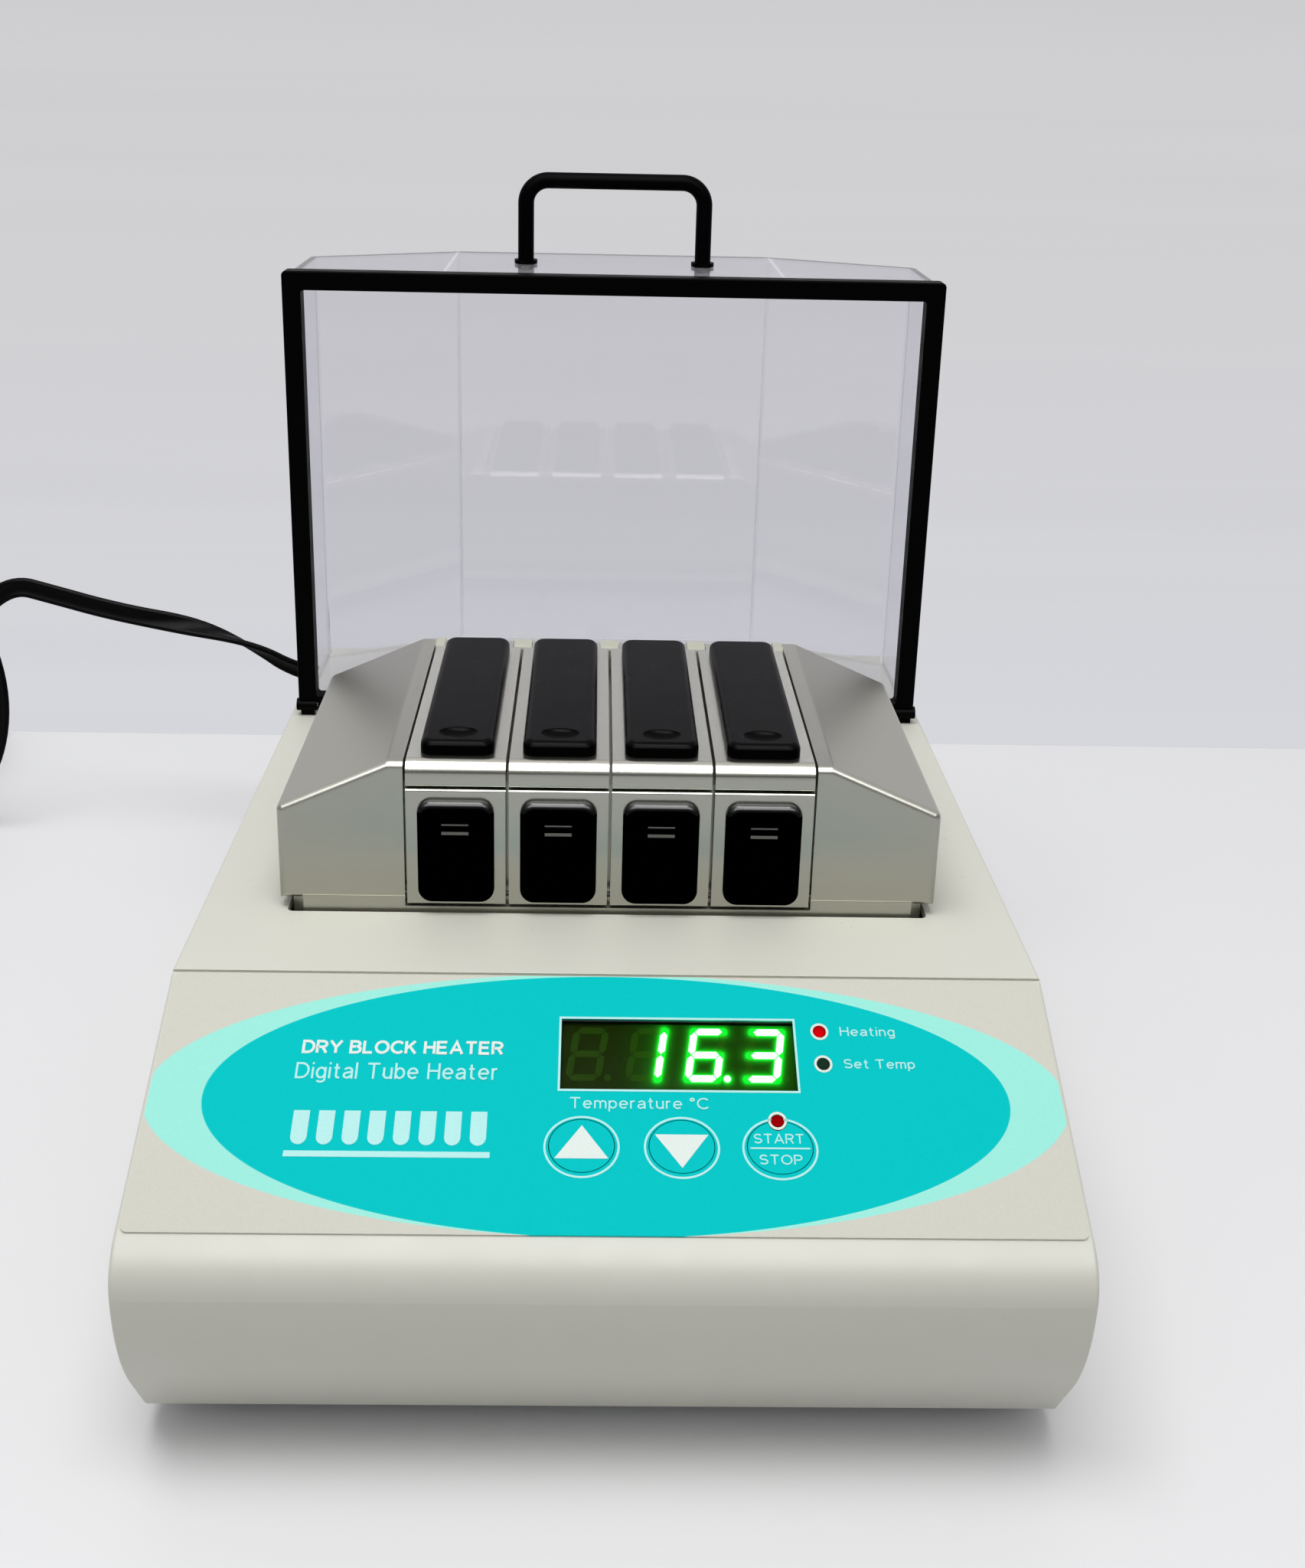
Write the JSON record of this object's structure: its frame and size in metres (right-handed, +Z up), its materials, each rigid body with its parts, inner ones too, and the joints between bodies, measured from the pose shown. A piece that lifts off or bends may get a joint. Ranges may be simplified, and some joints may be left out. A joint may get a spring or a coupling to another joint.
{
  "type": "dry block heater",
  "caption": "Bench-top dry block heater: white case, sloping key panel with a digit display, lift-out aluminium block, latched tube lids and a clear hinged cover.",
  "frame": {"origin": "bench plane at the centre of the footprint of the case", "axes": "+X to the user's right, +Y to the back of the heater, +Z up from the bench"},
  "size_m": [0.3845, 0.384, 0.257],
  "materials": {
    "white_enamel": "semi-gloss off-white enamel, faint orange peel",
    "zinc_sheet": "zinc-plated sheet",
    "black_rubber": "matte moulded rubber",
    "screw_steel": "plated",
    "panel_film": "printed polyester film, satin",
    "display_lens": "tinted clear lens, gloss",
    "display_black": "matte",
    "board_green": "solder mask",
    "black_plastic": "fine moulded grain",
    "led_lens": "diffused lens",
    "nylon_white": "matte",
    "block_aluminium": "bead-blasted, clear anodised",
    "silicone_orange": "matte silicone",
    "mineral_felt": "fibrous felt",
    "probe_steel": "ground",
    "wire_red": "insulated wire",
    "transformer_iron": "varnished laminations",
    "ribbon_grey": "satin",
    "rocker_red": "gloss",
    "cord_black": "satin cord sheath",
    "clear_acrylic": "clear polished sheet",
    "rim_black": "satin black",
    "tab_champagne": "satin champagne anodised",
    "key_film": "printed key cap, satin",
    "lid_aluminium": "satin anodised, bead-blasted",
    "grip_black": "fine moulded grain"
  },
  "bodies": {
    "base": {"top_housing": "white_enamel", "base_plate": "zinc_sheet", "rubber_feet": "black_rubber", "housing_screws": "screw_steel", "rear_panel": "white_enamel", "panel_overlay": "panel_film", "display_window": "display_lens", "digit_display": "display_black", "display_board": "board_green", "tact_switches": "black_plastic", "indicator_leds": "led_lens", "board_standoffs": "nylon_white", "board_screws": "screw_steel", "block_well": "block_aluminium", "heater_mat": "silicone_orange", "insulation_jacket": "mineral_felt", "well_standoffs": "nylon_white", "temperature_probe": "probe_steel", "thermal_cutoff": "probe_steel", "internal_wires": "wire_red", "control_board": "board_green", "terminal_block": "nylon_white", "power_relay": "black_plastic", "transformer": "transformer_iron", "ribbon_cable": "ribbon_grey", "power_inlet": "black_plastic", "power_switch_body": "black_plastic", "cord_connector": "cord_black", "power_cord": "cord_black", "mains_plug": "cord_black", "hinge_brackets": "black_plastic", "hinge_pins": "probe_steel"},
    "power_rocker": {"power_rocker": "rocker_red"},
    "up_key": {"up_key": "key_film"},
    "down_key": {"down_key": "key_film"},
    "start_stop_key": {"start_stop_key": "key_film"},
    "cover": {"cover_shell": "clear_acrylic", "cover_rim": "rim_black", "cover_handle": "rim_black", "handle_screws": "screw_steel"},
    "insert": {"insert_block": "block_aluminium", "lid_hinge_tabs": "tab_champagne", "lid_hinge_rod": "probe_steel", "latch_pivot_rod": "probe_steel"},
    "lid_1": {"tube_lid_1": "lid_aluminium", "lid_grip_1": "grip_black"},
    "latch_1": {"latch_plate_1": "lid_aluminium", "latch_tile_1": "grip_black"},
    "lid_2": {"tube_lid_2": "lid_aluminium", "lid_grip_2": "grip_black"},
    "latch_2": {"latch_plate_2": "lid_aluminium", "latch_tile_2": "grip_black"},
    "lid_3": {"tube_lid_3": "lid_aluminium", "lid_grip_3": "grip_black"},
    "latch_3": {"latch_plate_3": "lid_aluminium", "latch_tile_3": "grip_black"},
    "lid_4": {"tube_lid_4": "lid_aluminium", "lid_grip_4": "grip_black"},
    "latch_4": {"latch_plate_4": "lid_aluminium", "latch_tile_4": "grip_black"}
  },
  "joints": [
    {"name": "cover_hinge", "type": "hinge", "parent": "base", "child": "cover", "pos_m": [0, 0.0745, 0.0915], "axis": [-1, 0, 0], "range_deg": [-90, 0]},
    {"name": "insert_lift", "type": "slide", "parent": "base", "child": "insert", "axis": [0, 0, 1], "range_m": [0, 0.06]},
    {"name": "power_rocker_tilt", "type": "hinge", "parent": "base", "child": "power_rocker", "pos_m": [0.055, 0.1355, 0.042], "axis": [1, 0, 0], "range_deg": [0, 16]},
    {"name": "up_key_press", "type": "slide", "parent": "base", "child": "up_key", "axis": [0, 0.4565, -0.8897], "range_m": [0, 0.0003]},
    {"name": "down_key_press", "type": "slide", "parent": "base", "child": "down_key", "axis": [0, 0.4565, -0.8897], "range_m": [0, 0.0003]},
    {"name": "start_stop_key_press", "type": "slide", "parent": "base", "child": "start_stop_key", "axis": [0, 0.4565, -0.8897], "range_m": [0, 0.0003]},
    {"name": "lid_1_hinge", "type": "hinge", "parent": "insert", "child": "lid_1", "pos_m": [-0.0378, 0.037, 0.1249], "axis": [-1, 0, 0], "range_deg": [0, 90]},
    {"name": "latch_1_hinge", "type": "hinge", "parent": "insert", "child": "latch_1", "pos_m": [-0.0378, -0.0461, 0.0926], "axis": [1, 0, 0], "range_deg": [0, 20]},
    {"name": "lid_2_hinge", "type": "hinge", "parent": "insert", "child": "lid_2", "pos_m": [-0.0126, 0.037, 0.1249], "axis": [-1, 0, 0], "range_deg": [0, 90]},
    {"name": "latch_2_hinge", "type": "hinge", "parent": "insert", "child": "latch_2", "pos_m": [-0.0126, -0.0461, 0.0926], "axis": [1, 0, 0], "range_deg": [0, 20]},
    {"name": "lid_3_hinge", "type": "hinge", "parent": "insert", "child": "lid_3", "pos_m": [0.0126, 0.037, 0.1249], "axis": [-1, 0, 0], "range_deg": [0, 90]},
    {"name": "latch_3_hinge", "type": "hinge", "parent": "insert", "child": "latch_3", "pos_m": [0.0126, -0.0461, 0.0926], "axis": [1, 0, 0], "range_deg": [0, 20]},
    {"name": "lid_4_hinge", "type": "hinge", "parent": "insert", "child": "lid_4", "pos_m": [0.0378, 0.037, 0.1249], "axis": [-1, 0, 0], "range_deg": [0, 90]},
    {"name": "latch_4_hinge", "type": "hinge", "parent": "insert", "child": "latch_4", "pos_m": [0.0378, -0.0461, 0.0926], "axis": [1, 0, 0], "range_deg": [0, 20]}
  ]
}
